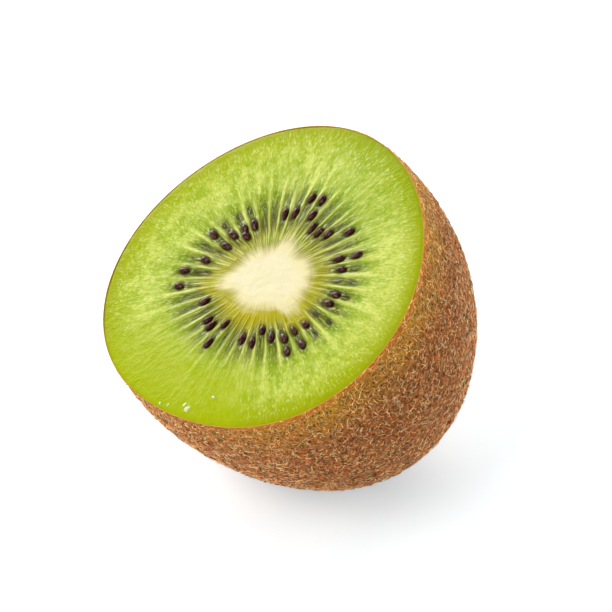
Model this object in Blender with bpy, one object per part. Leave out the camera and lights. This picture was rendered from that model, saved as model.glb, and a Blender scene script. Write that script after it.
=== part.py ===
"""Half of a fuzzy green kiwifruit, cut across and lying tilted on its skin.

Three bodies share the fruit's own frame, in which the cut face is the plane z = 0 and the
blossom end points down -Z: the thin brown skin, the green flesh with its seeds, and the
cream core. An empty tips that frame, so that the half rests on a small flat spot of skin
under its weight. That spot is centred on the world origin. Sizes are in metres.
"""

import math
import random

import bmesh
import bpy
from mathutils import Matrix, Vector

# The fruit's outside
FACE_RADIUS = 0.0265  # mean radius of the cut face
HALF_LENGTH = 0.0367  # from the cut face to the blossom end
OVAL_SHARE, OVAL_BEARING = 0.045, 23.0  # how oval the fruit is, and which way, in degrees
LOBE_SHARE, LOBE_BEARING = 0.023, -3.0  # its slight three-sidedness
FULLNESS = 2.13  # over 2 fills out the blossom end
SIDE_POWER = 2.1
BELLY = 0.207  # swells the fruit below the cut
END_LEAN = Vector((0.0032, -0.0001))  # how far the blossom end sits off the face's middle

# How it lies
TILT = 31.6  # degrees that the cut face is tipped from level, towards -Y
FLAT_DEPTH = 0.00025  # what the flat spot takes off the round

# Skin, gaps between the bodies, and the low nub of the blossom end
SKIN = 0.0007
GAP = 0.0003
NUB_RADIUS = 0.0026
NUB_HEIGHT = 0.0007

# The core column, whose outline has a few soft corners
CORE_CENTRE = Vector((0.0011, 0.0004))
CORE_RADIUS = 0.0067
CORE_DEPTH = 0.030
CORE_WAVES = ((2, 0.15, 32.0), (3, 0.065, 0.0), (4, 0.033, 37.0))  # order, share, bearing
CORE_POWER = 2.4

# Seeds lie in narrow locules round the core, one letter each: n near it, m midway, f far.
# A capital is a seed that lies deeper in the flesh, and - is an empty locule.
LOCULES = (
    "mF MF m mF MF mF mf - f m n n mf f m m - - mF nmF mF nf F m NMf f - n - m m nf"
    " - - m m n m mf mf"
).split()
SEED_ROW = {"n": 0.0033, "m": 0.0049, "f": 0.0075}  # from the core's edge to the seed
SEED_SIZE = Vector((0.00205, 0.00122, 0.00095))  # length, width, thickness
SEED_SINK = 0.00010  # its middle lies this far under the cut face
DEEP_SEED_SINK = 0.00022
SEED_STRAY = 0.0004  # how far a seed strays along its locule
SEED_STRAY_BEARING = 1.3  # degrees
SEED_TURN = 12.0  # degrees off the radial line
SEED_DRAW = 7

# How finely the round forms are divided
FRUIT_SEGMENTS, FRUIT_RINGS = 48, 31  # an odd number of rings leaves none on the cut
CORE_SEGMENTS, CORE_RINGS = 28, 17
SEED_SEGMENTS, SEED_RINGS = 8, 6
NUB_SEGMENTS, NUB_RINGS = 16, 8
FINE_DIVISION = (240, 181)  # only used to find the lowest point

COLOURS = {
    "kiwi_skin": ((0.165, 0.072, 0.022), 0.85),
    "kiwi_flesh": ((0.41, 0.60, 0.035), 0.32),
    "kiwi_core": ((0.90, 0.83, 0.50), 0.45),
    "kiwi_seed": ((0.020, 0.008, 0.008), 0.22),
}


def waved(radius, bearing, waves):
    """A radius that waves round the axis, for a bearing in radians."""
    return radius * (
        1 + sum(share * math.cos(order * (bearing - math.radians(at))) for order, share, at in waves)
    )


def fruit_radius(bearing):
    waves = ((2, OVAL_SHARE, OVAL_BEARING), (3, LOBE_SHARE, LOBE_BEARING))
    return waved(FACE_RADIUS, bearing, waves)


def core_radius(bearing):
    return waved(CORE_RADIUS, bearing, CORE_WAVES)


def fruit_point(unit):
    """Where a point of the unit sphere lies on the fruit's outside."""
    depth = -unit.z
    bearing = math.atan2(unit.y, unit.x)
    narrowing = max(0.0, 1 - abs(depth) ** FULLNESS) ** (1 / SIDE_POWER)
    across = fruit_radius(bearing) * narrowing * (1 + BELLY * depth * (1 - abs(depth)))
    return Vector((
        across * math.cos(bearing) + END_LEAN.x * depth,
        across * math.sin(bearing) + END_LEAN.y * depth,
        -HALF_LENGTH * depth,
    ))


def core_point(unit):
    """Where a point of the unit sphere lies on the core, which leans with the fruit."""
    depth = -unit.z
    bearing = math.atan2(unit.y, unit.x)
    across = core_radius(bearing) * max(0.0, 1 - abs(depth) ** CORE_POWER) ** (1 / CORE_POWER)
    reach = depth * CORE_DEPTH / HALF_LENGTH
    centre = CORE_CENTRE + (END_LEAN - CORE_CENTRE) * max(0.0, reach)
    return Vector((
        centre.x + across * math.cos(bearing),
        centre.y + across * math.sin(bearing),
        -CORE_DEPTH * depth,
    ))


def new_material(name):
    colour, roughness = COLOURS[name]
    material = bpy.data.materials.new(name)
    material.use_nodes = True
    shader = material.node_tree.nodes["Principled BSDF"]
    shader.inputs["Base Color"].default_value = (*colour, 1)
    shader.inputs["Roughness"].default_value = roughness
    shader.inputs["Metallic"].default_value = 0
    material.diffuse_color = (*colour, 1)
    return material


def new_object(name, bm, collection, parent=None, material=None):
    mesh = bpy.data.meshes.new(name)
    bm.to_mesh(mesh)
    bm.free()
    if material:
        mesh.materials.append(material)
    mesh.shade_smooth()
    obj = bpy.data.objects.new(name, mesh)
    obj.parent = parent
    collection.objects.link(obj)
    return obj


def as_helper(obj):
    obj.hide_render = True
    obj.display_type = "WIRE"
    return obj


def round_form(point_on, segments, rings, grow=0.0, cut=True):
    """A closed round form: a sphere carried onto point_on, grown or shrunk along its normals,
    and with cut, sliced flat at z = 0 with the lower half kept."""
    bm = bmesh.new()
    bmesh.ops.create_uvsphere(bm, u_segments=segments, v_segments=rings, radius=1)
    for vertex in bm.verts:
        vertex.co = point_on(vertex.co)
    bm.normal_update()
    for vertex in bm.verts:
        vertex.co += vertex.normal * grow
    if cut:
        everything = bm.verts[:] + bm.edges[:] + bm.faces[:]
        bmesh.ops.bisect_plane(
            bm, geom=everything, plane_co=(0, 0, 0), plane_no=(0, 0, 1), clear_outer=True
        )
        open_edges = [edge for edge in bm.edges if edge.is_boundary]
        bmesh.ops.holes_fill(bm, edges=open_edges, sides=0)
    bmesh.ops.recalc_face_normals(bm, faces=bm.faces[:])
    return bm


def fruit_form(grow=0.0, cut=True):
    return round_form(fruit_point, FRUIT_SEGMENTS, FRUIT_RINGS, grow, cut)


def core_form(grow=0.0, cut=True):
    return round_form(core_point, CORE_SEGMENTS, CORE_RINGS, grow, cut)


def boolean(obj, name, operation, other=None, collection=None):
    modifier = obj.modifiers.new(name, "BOOLEAN")
    modifier.operation = operation
    modifier.solver = "EXACT"
    modifier.material_mode = "TRANSFER"
    if collection:
        modifier.operand_type = "COLLECTION"
        modifier.collection = collection
    else:
        modifier.object = other
    return modifier


def tipped_holder(collection):
    """The empty that tips the fruit's frame and sets the middle of its flat spot on the origin."""
    turn = Matrix.Rotation(math.radians(TILT), 4, "X")
    outside = round_form(fruit_point, *FINE_DIVISION)
    lowest = min((turn @ vertex.co for vertex in outside.verts), key=lambda point: point.z)
    outside.free()
    holder = bpy.data.objects.new("fruit_frame", None)
    holder.empty_display_size = FACE_RADIUS
    holder.rotation_euler.x = math.radians(TILT)
    holder.location = (-lowest.x, -lowest.y, -lowest.z - FLAT_DEPTH)
    collection.objects.link(holder)
    return holder


def make_skin(parts, helpers, holder):
    """A thin cup of skin with the blossom end's nub, flat where it rests."""
    skin = new_object("skin", fruit_form(), parts, holder, new_material("kiwi_skin"))

    nub_form = bmesh.new()
    bmesh.ops.create_uvsphere(
        nub_form, u_segments=NUB_SEGMENTS, v_segments=NUB_RINGS, radius=NUB_RADIUS
    )
    nub = as_helper(new_object("nub", nub_form, helpers, holder))
    nub.location = (*END_LEAN, -HALF_LENGTH)
    nub.scale.z = NUB_HEIGHT / NUB_RADIUS
    nub.data.materials.append(skin.active_material)
    boolean(skin, "blossom_end", "UNION", nub)

    inside = as_helper(new_object("skin_inside", fruit_form(-SKIN, cut=False), helpers, holder))
    boolean(skin, "hollow", "DIFFERENCE", inside)

    floor_form = bmesh.new()
    bmesh.ops.create_cube(floor_form, size=2 * FACE_RADIUS)
    floor = as_helper(new_object("floor_cutter", floor_form, helpers))
    floor.location.z = -FACE_RADIUS
    boolean(skin, "flat_spot", "DIFFERENCE", floor)
    return skin


def add_seed(name, bearing, distance, sink, turn, length, collection, holder, material):
    """One seed, long along its locule and half out of the cut face."""
    bm = bmesh.new()
    bmesh.ops.create_uvsphere(bm, u_segments=SEED_SEGMENTS, v_segments=SEED_RINGS, radius=0.5)
    seed = new_object(name, bm, collection, holder, material)
    along = Vector((math.cos(bearing), math.sin(bearing))) * distance
    seed.location = (*(CORE_CENTRE + along), -sink)
    seed.rotation_euler.z = bearing + turn
    seed.scale = (length, SEED_SIZE.y, SEED_SIZE.z)


def make_flesh(parts, helpers, holder):
    """The green flesh inside the skin, with its seeds joined to it and a hollow for the core."""
    flesh = new_object("flesh", fruit_form(-SKIN - GAP), parts, holder, new_material("kiwi_flesh"))
    seed_material = new_material("kiwi_seed")
    flesh.data.materials.append(seed_material)

    seeds = bpy.data.collections.new("seeds")
    helpers.children.link(seeds)
    draw = random.Random(SEED_DRAW)
    for number, letters in enumerate(LOCULES):
        middle = math.tau * (number + 0.5) / len(LOCULES)
        for letter in letters.strip("-"):
            stray = draw.uniform(-1, 1)
            bearing = middle + math.radians(SEED_STRAY_BEARING) * draw.uniform(-1, 1)
            distance = core_radius(bearing) + SEED_ROW[letter.lower()] + SEED_STRAY * stray
            sink = DEEP_SEED_SINK if letter.isupper() else SEED_SINK
            turn = math.radians(SEED_TURN) * draw.uniform(-1, 1)
            length = SEED_SIZE.x * draw.uniform(0.88, 1.08)
            name = f"seed_{number}_{letter}"
            add_seed(name, bearing, distance, sink, turn, length, seeds, holder, seed_material)

    bpy.context.view_layer.update()
    boolean(flesh, "seeds", "UNION", collection=seeds)
    with bpy.context.temp_override(object=flesh):
        bpy.ops.object.modifier_apply(modifier="seeds")
    for seed in list(seeds.objects):
        bpy.data.objects.remove(seed)
    bpy.data.collections.remove(seeds)

    socket = as_helper(new_object("core_hollow", core_form(GAP, cut=False), helpers, holder))
    boolean(flesh, "core_hollow", "DIFFERENCE", socket)
    return flesh


def make_core(parts, holder):
    return new_object("core", core_form(), parts, holder, new_material("kiwi_core"))


def main():
    for obj in list(bpy.data.objects):
        bpy.data.objects.remove(obj)
    parts = bpy.data.collections.new("halved_kiwifruit")
    helpers = bpy.data.collections.new("cutters")
    for collection in (parts, helpers):
        bpy.context.scene.collection.children.link(collection)
    holder = tipped_holder(parts)
    make_skin(parts, helpers, holder)
    make_flesh(parts, helpers, holder)
    make_core(parts, holder)


main()
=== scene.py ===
"""Looks of half a fuzzy green kiwifruit: wet cut face, seeds, cream core and hairy skin.

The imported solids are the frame. Each class below makes one sub-assembly of finer pieces in
the fruit's own frame (cut face on z = 0, blossom end down -Z), lays them where the solids
are, and dresses them in procedural finishes.
"""

from __future__ import annotations

import logging
import math
import random
from dataclasses import dataclass, field
from enum import Enum

import bpy
import numpy as np
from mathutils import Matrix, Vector

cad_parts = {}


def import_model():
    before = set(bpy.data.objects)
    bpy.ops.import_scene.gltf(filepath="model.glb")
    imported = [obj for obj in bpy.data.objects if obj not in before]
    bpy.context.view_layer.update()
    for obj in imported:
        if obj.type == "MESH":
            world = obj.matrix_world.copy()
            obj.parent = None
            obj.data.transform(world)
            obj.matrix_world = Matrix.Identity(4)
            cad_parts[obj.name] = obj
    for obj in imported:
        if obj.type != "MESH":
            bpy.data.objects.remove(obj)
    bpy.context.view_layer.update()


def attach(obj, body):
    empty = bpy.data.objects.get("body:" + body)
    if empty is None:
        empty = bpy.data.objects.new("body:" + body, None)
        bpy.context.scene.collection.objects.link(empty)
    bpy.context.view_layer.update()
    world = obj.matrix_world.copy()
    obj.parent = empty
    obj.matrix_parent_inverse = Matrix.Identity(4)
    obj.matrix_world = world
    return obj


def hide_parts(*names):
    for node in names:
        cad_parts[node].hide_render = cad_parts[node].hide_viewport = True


LOG = logging.getLogger("kiwifruit")
MM = 0.001
BODY = "root"
FLOAT, VECTOR = "NodeSocketFloat", "NodeSocketVector"
Socket = bpy.types.NodeSocket
Feed = Socket | float | tuple
Waves = tuple[tuple[int, float, float], ...]
Lumps = tuple[tuple[int, float, float], ...]


def linear(red: int, green: int, blue: int) -> tuple[float, float, float, float]:
    """A display colour from 0 to 255 as the linear colour that a shader takes.

    Args:
        red: the red part.
        green: the green part.
        blue: the blue part.

    Returns:
        The linear red, green and blue with an alpha of 1.
    """
    parts = [value / 255 for value in (red, green, blue)]
    bent = [p / 12.92 if p <= 0.04045 else ((p + 0.055) / 1.055) ** 2.4 for p in parts]
    return (bent[0], bent[1], bent[2], 1.0)


def smooth_step(low: float, high: float, value: np.ndarray) -> np.ndarray:
    """A soft step from 0 at low to 1 at high.

    Args:
        low: where the step starts.
        high: where it ends.
        value: the values to step.

    Returns:
        Numbers from 0 to 1.
    """
    share = np.clip((value - low) / (high - low), 0, 1)
    return share * share * (3 - 2 * share)


def unit(vectors: np.ndarray) -> np.ndarray:
    """The same vectors, each with a length of 1."""
    return vectors / np.linalg.norm(vectors, axis=-1, keepdims=True)


def all_round(count: int) -> np.ndarray:
    """Bearings in radians, evenly spaced all round."""
    return np.linspace(0, math.tau, count, endpoint=False)


class LatticeNoise:
    """Smooth seeded noise in three dimensions, about -1 to 1."""

    SIDE = 32

    def __init__(self, seed: int) -> None:
        """Draws the lattice.

        Args:
            seed: the draw's seed.
        """
        self.values = np.random.default_rng(seed).uniform(-1, 1, (self.SIDE,) * 3)

    def at(self, points: np.ndarray) -> np.ndarray:
        """The noise at some points, whose features are about one unit wide.

        Args:
            points: an array whose last axis is x, y, z.

        Returns:
            One number a point.
        """
        cell = np.floor(points).astype(int)
        share = points - cell
        share = share * share * (3 - 2 * share)
        total = np.zeros(points.shape[:-1])
        for corner in np.ndindex(2, 2, 2):
            weight = np.prod(np.where(corner, share, 1 - share), axis=-1)
            x, y, z = np.moveaxis((cell + corner) % self.SIDE, -1, 0)
            total += weight * self.values[x, y, z]
        return total


@dataclass(frozen=True)
class Fruit:
    """The half fruit's measures, in metres and degrees, as its solids have them."""

    face_radius: float = 0.0265
    half_length: float = 0.0367
    face_waves: Waves = ((2, 0.045, 23.0), (3, 0.023, -3.0))
    fullness: float = 2.13
    side_power: float = 2.1
    belly: float = 0.207
    end_lean: tuple[float, float] = (0.0032, -0.0001)
    tilt: float = 31.6
    flat_depth: float = 0.00025
    core_centre: tuple[float, float] = (0.0011, 0.0004)
    core_radius: float = 0.0067
    core_depth: float = 0.030
    core_waves: Waves = ((2, 0.15, 32.0), (3, 0.065, 0.0), (4, 0.033, 37.0))
    core_power: float = 2.4
    locules: int = 40

    @staticmethod
    def waved(radius: float, bearing: np.ndarray, waves: Waves) -> np.ndarray:
        """A radius that waves round the axis.

        Args:
            radius: the mean radius.
            bearing: bearings in radians.
            waves: order, share and bearing in degrees of each wave.

        Returns:
            The radius at each bearing.
        """
        swing = sum(share * np.cos(order * (bearing - math.radians(at))) for order, share, at in waves)
        return radius * (1 + swing)

    def face_at(self, bearing: np.ndarray) -> np.ndarray:
        """The cut face's radius at each bearing round the face's middle."""
        return self.waved(self.face_radius, bearing, self.face_waves)

    def core_at(self, bearing: np.ndarray) -> np.ndarray:
        """The core's radius at each bearing round the core's middle."""
        return self.waved(self.core_radius, bearing, self.core_waves)

    def outside(self, bearing: np.ndarray, depth: np.ndarray) -> np.ndarray:
        """Points on the skin's outside.

        Args:
            bearing: bearings in radians.
            depth: shares of the way from the cut face to the blossom end.

        Returns:
            Points in the fruit's frame.
        """
        narrowing = np.clip(1 - depth**self.fullness, 0, 1) ** (1 / self.side_power)
        across = self.face_at(bearing) * narrowing * (1 + self.belly * depth * (1 - depth))
        return np.stack([
            across * np.cos(bearing) + self.end_lean[0] * depth,
            across * np.sin(bearing) + self.end_lean[1] * depth,
            -self.half_length * depth * np.ones_like(bearing),
        ], axis=-1)

    def rim_from_core(self, bearing: np.ndarray, inset: float) -> np.ndarray:
        """How far the cut face's edge is from the core's middle.

        Args:
            bearing: bearings round the core's middle, in radians.
            inset: how far inside the skin's outside the edge lies.

        Returns:
            The distance at each bearing.
        """
        reach = np.full_like(bearing, self.face_radius)
        for _ in range(12):
            x = self.core_centre[0] + reach * np.cos(bearing)
            y = self.core_centre[1] + reach * np.sin(bearing)
            reach = reach + (self.face_at(np.arctan2(y, x)) - inset - np.hypot(x, y))
        return reach

    def turn(self) -> np.ndarray:
        """The rotation that tips the fruit's frame, as a 3 by 3 matrix."""
        c, s = math.cos(math.radians(self.tilt)), math.sin(math.radians(self.tilt))
        return np.array([[1, 0, 0], [0, c, -s], [0, s, c]])

    def place(self) -> np.ndarray:
        """Where the face's middle lies, with the flat spot's middle on the origin.

        Returns:
            A point in the row's frame.
        """
        bearing, depth = np.meshgrid(
            np.linspace(0, math.tau, 721), np.sin(np.linspace(0, math.pi / 2, 361))
        )
        points = self.outside(bearing, depth).reshape(-1, 3) @ self.turn().T
        lowest = points[points[:, 2].argmin()]
        return np.array([-lowest[0], -lowest[1], -lowest[2] - self.flat_depth])

    def to_row(self, points: np.ndarray) -> np.ndarray:
        """Points of the fruit's frame in the row's frame, none below the floor.

        Args:
            points: an array whose last axis is x, y, z.

        Returns:
            The points, moved.
        """
        moved = points @ self.turn().T + self.place()
        moved[..., 2] = np.maximum(moved[..., 2], 0)
        return moved


class Row(Enum):
    """How far from the core a seed lies in its locule, in metres."""

    NEAR = 0.0033
    MID = 0.0049
    FAR = 0.0075


@dataclass(frozen=True)
class Seed:
    """One seed: where it lies round the core, how it is turned and how deep it is."""

    bearing: float
    distance: float
    sink: float
    turn: float
    length: float
    deep: bool


@dataclass(frozen=True)
class SeedBed:
    """The rule that lays out the seeds, the same as in the solids.

    Each word is a locule. n, m and f are a seed near the core, midway and far from it, a
    capital is a seed that lies deeper, and - is an empty locule.
    """

    pattern: str = (
        "mF MF m mF MF mF mf - f m n n mf f m m - - mF nmF mF nf F m NMf f - n - m m nf"
        " - - m m n m mf mf"
    )
    size: tuple[float, float, float] = (0.00205, 0.00122, 0.00095)
    sink: float = 0.00010
    deep_sink: float = 0.00022
    stray: float = 0.0004
    stray_bearing: float = 1.3
    turn: float = 12.0
    draw: int = 7

    def seeds(self, fruit: Fruit) -> list[Seed]:
        """Every seed of the cut face.

        Args:
            fruit: the fruit that they lie in.

        Returns:
            The seeds in the order of their locules.
        """
        draw = random.Random(self.draw)
        rows = {"n": Row.NEAR, "m": Row.MID, "f": Row.FAR}
        locules = self.pattern.split()
        found = []
        for number, letters in enumerate(locules):
            middle = math.tau * (number + 0.5) / len(locules)
            for letter in letters.strip("-"):
                stray = self.stray * draw.uniform(-1, 1)
                bearing = middle + math.radians(self.stray_bearing) * draw.uniform(-1, 1)
                edge = float(fruit.core_at(np.array(bearing)))
                found.append(Seed(
                    bearing=bearing,
                    distance=edge + rows[letter.lower()].value + stray,
                    sink=self.deep_sink if letter.isupper() else self.sink,
                    turn=math.radians(self.turn) * draw.uniform(-1, 1),
                    length=self.size[0] * draw.uniform(0.88, 1.08),
                    deep=letter.isupper(),
                ))
        return found


class Graph:
    """Adds nodes to one node tree and links them."""

    def __init__(self, tree: bpy.types.NodeTree) -> None:
        """Takes the tree.

        Args:
            tree: a material's or a group's node tree.
        """
        self.tree = tree

    def node(self, kind: str, inputs: dict | None = None, **settings: object) -> bpy.types.Node:
        """Adds a node.

        Args:
            kind: the node's type name without its ShaderNode prefix.
            inputs: a number, colour or output socket for each input, by name or index.
            settings: the node's own properties.

        Returns:
            The node.
        """
        made = self.tree.nodes.new("ShaderNode" + kind)
        for name, value in settings.items():
            setattr(made, name, value)
        for name, value in (inputs or {}).items():
            self.feed(made.inputs[name], value)
        return made

    def feed(self, socket: Socket, value: Feed) -> None:
        """Links an output to a socket, or sets the socket to a plain value.

        Args:
            socket: the input.
            value: an output, a number or a colour.
        """
        if isinstance(value, Socket):
            self.tree.links.new(value, socket)
        else:
            socket.default_value = value

    def math(self, operation: str, *values: Feed) -> Socket:
        """One step of arithmetic on numbers or output sockets."""
        return self.node("Math", dict(enumerate(values)), operation=operation).outputs[0]

    def times(self, first: Feed, *rest: Feed) -> Feed:
        """The product of some numbers or output sockets."""
        return self.math("MULTIPLY", first, self.times(*rest)) if rest else first

    def hypot(self, x: Feed, y: Feed) -> Socket:
        """The length of a vector from its two parts."""
        return self.math("SQRT", self.math("MULTIPLY_ADD", x, x, self.math("MULTIPLY", y, y)))

    def facing(self, bearing: Feed, degrees: float) -> Socket:
        """The cosine of how far a bearing's output is from a bearing in degrees."""
        return self.math("COSINE", self.math("SUBTRACT", bearing, math.radians(degrees)))

    def step(self, value: Feed, low: Feed, high: Feed) -> Socket:
        """A soft step of a value from 0 at low to 1 at high, or down if low is the larger."""
        inputs = {"Value": value, "From Min": low, "From Max": high}
        return self.node("MapRange", inputs, interpolation_type="SMOOTHSTEP").outputs["Result"]

    def band(self, value: Feed, rise: tuple[float, float], fall: tuple[float, float]) -> Feed:
        """A mask that rises softly between two values and falls again between two larger ones."""
        return self.times(self.step(value, *rise), self.step(value, fall[1], fall[0]))

    def mix(self, share: Feed, first: Feed, second: Feed, blend: str = "MIX") -> Socket:
        """A mix of two colours, with as much of the second as the share says."""
        made = self.node("Mix", {0: share, 6: first, 7: second}, data_type="RGBA", blend_type=blend)
        return made.outputs[2]

    def lay(self, colour: Feed, paint: Feed, *masks: Feed) -> Socket:
        """Lays a paint over a colour, as strongly as the product of the masks and numbers."""
        return self.mix(self.times(*masks), colour, paint)

    def stored(self, name: str) -> Socket:
        """The number that the mesh stores at each point under a name."""
        return self.node("Attribute", attribute_name=name).outputs["Fac"]

    def ramp(self, share: Feed, stops: tuple[tuple[float, tuple], ...]) -> Socket:
        """A colour ramp.

        Args:
            share: the output that is looked up.
            stops: places from 0 to 1, each with its colour.

        Returns:
            The colour's socket.
        """
        made = self.node("ValToRGB", {"Fac": share})
        marks = made.color_ramp.elements
        while len(marks) < len(stops):
            marks.new(0.5)
        for mark, (place, colour) in zip(marks, stops):
            mark.position = place
            mark.color = colour
        return made.outputs["Color"]


class Coating(Graph):
    """A material in the making, with its Principled shader."""

    def __init__(self, name: str) -> None:
        """Starts an empty material.

        Args:
            name: the material's name.
        """
        self.material = bpy.data.materials.new(name)
        self.material.use_nodes = True
        super().__init__(self.material.node_tree)
        self.shader = self.tree.nodes["Principled BSDF"]

    def bump(self, height: Feed, strength: float, depth: float) -> Socket:
        """The normal of a bump from its height's output, with its depth in millimetres."""
        inputs = {"Height": height, "Strength": strength, "Distance": depth * MM}
        return self.node("Bump", inputs).outputs[0]

    def finish(self, **inputs: Feed) -> bpy.types.Material:
        """Feeds or sets the shader's inputs.

        Args:
            inputs: an output or a plain value for each input, by name with _ for a space.

        Returns:
            The material.
        """
        for name, value in inputs.items():
            self.feed(self.shader.inputs[name.replace("_", " ")], value)
        return self.material


@dataclass
class Effects:
    """The shader groups that several finishes share, each built once.

    Attributes:
        fruit: the fruit whose measures they use.
        corners: bearing and half width in degrees of each soft corner or hollow of the cream
            core, and how many millimetres the cream reaches out there.
        olive_side: the bearing where the olive zone round the core is strongest.
        lit_side: the bearing where the painted glow on the skin's rim is warmest.
        streak_reach: how far from the core, in millimetres, a streak is as wide as it is said.
    """

    fruit: Fruit
    corners: tuple[tuple[float, float, float], ...] = (
        (-1.0, 14.0, 2.0), (52.0, 26.0, 0.8), (124.0, 11.0, 0.6), (150.0, 20.0, -0.6),
        (205.0, 22.0, -0.8), (232.0, 12.0, 1.0), (250.0, 16.0, -0.8), (298.0, 28.0, 0.8),
    )
    olive_side: float = -50.0
    lit_side: float = 45.0
    streak_reach: float = 18.0

    def __post_init__(self) -> None:
        """Builds the groups."""
        self.polar = self._polar()
        self.streaks = self._streaks()
        self.mottle = self._mottle()
        self.fringe = self._fringe()
        self.glow = self._glow()

    @staticmethod
    def _open(
        name: str, inputs: dict[str, float], outputs: dict[str, str]
    ) -> tuple[Graph, bpy.types.bpy_prop_collection, bpy.types.Node]:
        """Starts a group.

        Args:
            name: the group's name.
            inputs: each number that it takes, with its usual value.
            outputs: each output's socket type, by name.

        Returns:
            A graph of the group, what it takes and the node that takes its outputs.
        """
        tree = bpy.data.node_groups.new(name, "ShaderNodeTree")
        for title, usual in inputs.items():
            tree.interface.new_socket(title, in_out="INPUT", socket_type=FLOAT).default_value = usual
        for title, kind in outputs.items():
            tree.interface.new_socket(title, in_out="OUTPUT", socket_type=kind)
        source, sink = tree.nodes.new("NodeGroupInput"), tree.nodes.new("NodeGroupOutput")
        return Graph(tree), source.outputs, sink

    @staticmethod
    def _close(graph: Graph, sink: bpy.types.Node, outputs: dict[str, Feed]) -> bpy.types.NodeTree:
        """Feeds a group's outputs.

        Args:
            graph: the group's graph.
            sink: the node that takes its outputs.
            outputs: the socket that feeds each output, by name.

        Returns:
            The group.
        """
        for name, value in outputs.items():
            graph.feed(sink.inputs[name], value)
        return graph.tree

    @staticmethod
    def place(
        graph: Graph, group: bpy.types.NodeTree, **inputs: Feed
    ) -> bpy.types.bpy_prop_collection:
        """Puts a group in a material or in another group.

        Args:
            graph: the material's or group's graph.
            group: one of the shared groups.
            inputs: its values, by input name.

        Returns:
            What it puts out.
        """
        return graph.node("Group", inputs, node_tree=group).outputs

    @staticmethod
    def _waved(graph: Graph, radius: float, bearing: Feed, waves: Waves) -> Socket:
        """A radius in millimetres that waves with the bearing, as nodes.

        Args:
            graph: the graph to add to.
            radius: the mean radius in metres.
            bearing: the bearing's socket, in radians.
            waves: order, share and bearing in degrees of each wave.

        Returns:
            The radius's socket.
        """
        total = 1.0
        for order, share, at in waves:
            angle = graph.math("MULTIPLY_ADD", bearing, float(order), -order * math.radians(at))
            total = graph.math("MULTIPLY_ADD", graph.math("COSINE", angle), share, total)
        return graph.math("MULTIPLY", total, radius / MM)

    def _polar(self) -> bpy.types.NodeTree:
        """Where a point of the cut face lies round the core, in millimetres.

        Returns:
            The group.
        """
        fruit = self.fruit
        graph, _, sink = self._open("cut face polar", {}, {
            "Round": VECTOR, "Bearing": FLOAT, "From Core": FLOAT, "Past Core Edge": FLOAT,
            "Rim Share": FLOAT, "Locule": FLOAT, "Above Cut": FLOAT,
        })
        spot = graph.node("Mapping", {
            "Vector": graph.node("TexCoord").outputs["Object"], "Location": tuple(fruit.place()),
            "Rotation": (math.radians(fruit.tilt), 0, 0), "Scale": (MM, MM, MM),
        }, vector_type="TEXTURE").outputs[0]
        across, ahead, above = graph.node("SeparateXYZ", {0: spot}).outputs
        x = graph.math("SUBTRACT", across, fruit.core_centre[0] / MM)
        y = graph.math("SUBTRACT", ahead, fruit.core_centre[1] / MM)
        reach, bearing = graph.hypot(x, y), graph.math("ARCTAN2", y, x)
        core = self._waved(graph, fruit.core_radius, bearing, fruit.core_waves)
        outer = graph.math("ARCTAN2", ahead, across)
        rim = self._waved(graph, fruit.face_radius, outer, fruit.face_waves)
        phase = graph.math("FRACT", graph.math("MULTIPLY", bearing, fruit.locules / math.tau))
        cosine, sine = graph.math("DIVIDE", x, reach), graph.math("DIVIDE", y, reach)
        return self._close(graph, sink, {
            "Round": graph.node("CombineXYZ", {0: cosine, 1: sine, 2: 0.0}).outputs[0],
            "Bearing": bearing, "From Core": reach,
            "Past Core Edge": graph.math("SUBTRACT", reach, core),
            "Rim Share": graph.math("DIVIDE", graph.hypot(across, ahead), rim),
            "Locule": graph.math("SUBTRACT", phase, 0.5), "Above Cut": above,
        })

    def _streaks(self) -> bpy.types.NodeTree:
        """Noise that is drawn out along the lines from the core.

        Returns:
            The group, whose Across and Along are in millimetres.
        """
        usual = {"Across": 0.5, "Along": 4.0, "Detail": 3.0, "Shift": 0.0}
        graph, source, sink = self._open("radial streaks", usual, {"Value": FLOAT})
        polar = self.place(graph, self.polar)
        spread = graph.math("DIVIDE", self.streak_reach, source["Across"])
        scaled = {0: polar["Round"], "Scale": spread}
        ring = graph.node("VectorMath", scaled, operation="SCALE").outputs[0]
        away = graph.math("DIVIDE", polar["From Core"], source["Along"])
        away = graph.math("ADD", away, source["Shift"])
        drop = graph.node("CombineXYZ", {0: 0.0, 1: 0.0, 2: away}).outputs[0]
        spot = graph.node("VectorMath", {0: ring, 1: drop}, operation="ADD").outputs[0]
        inputs = {"Vector": spot, "Scale": 1.0, "Detail": source["Detail"], "Roughness": 0.55}
        return self._close(graph, sink, {"Value": graph.node("TexNoise", inputs).outputs["Fac"]})

    def _mottle(self) -> bpy.types.NodeTree:
        """Even noise of a given size.

        Returns:
            The group, whose Size is in millimetres.
        """
        usual = {"Size": 1.0, "Detail": 3.0, "Low": 0.35, "High": 0.65}
        graph, source, sink = self._open("mottle", usual, {"Value": FLOAT})
        noise = graph.node("TexNoise", {
            "Vector": graph.node("TexCoord").outputs["Object"], "Detail": source["Detail"],
            "Scale": graph.math("DIVIDE", 1 / MM, source["Size"]), "Roughness": 0.6,
        }).outputs["Fac"]
        inputs = {"Value": noise, "From Min": source["Low"], "From Max": source["High"]}
        return self._close(graph, sink, {"Value": graph.node("MapRange", inputs).outputs["Result"]})

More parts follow.
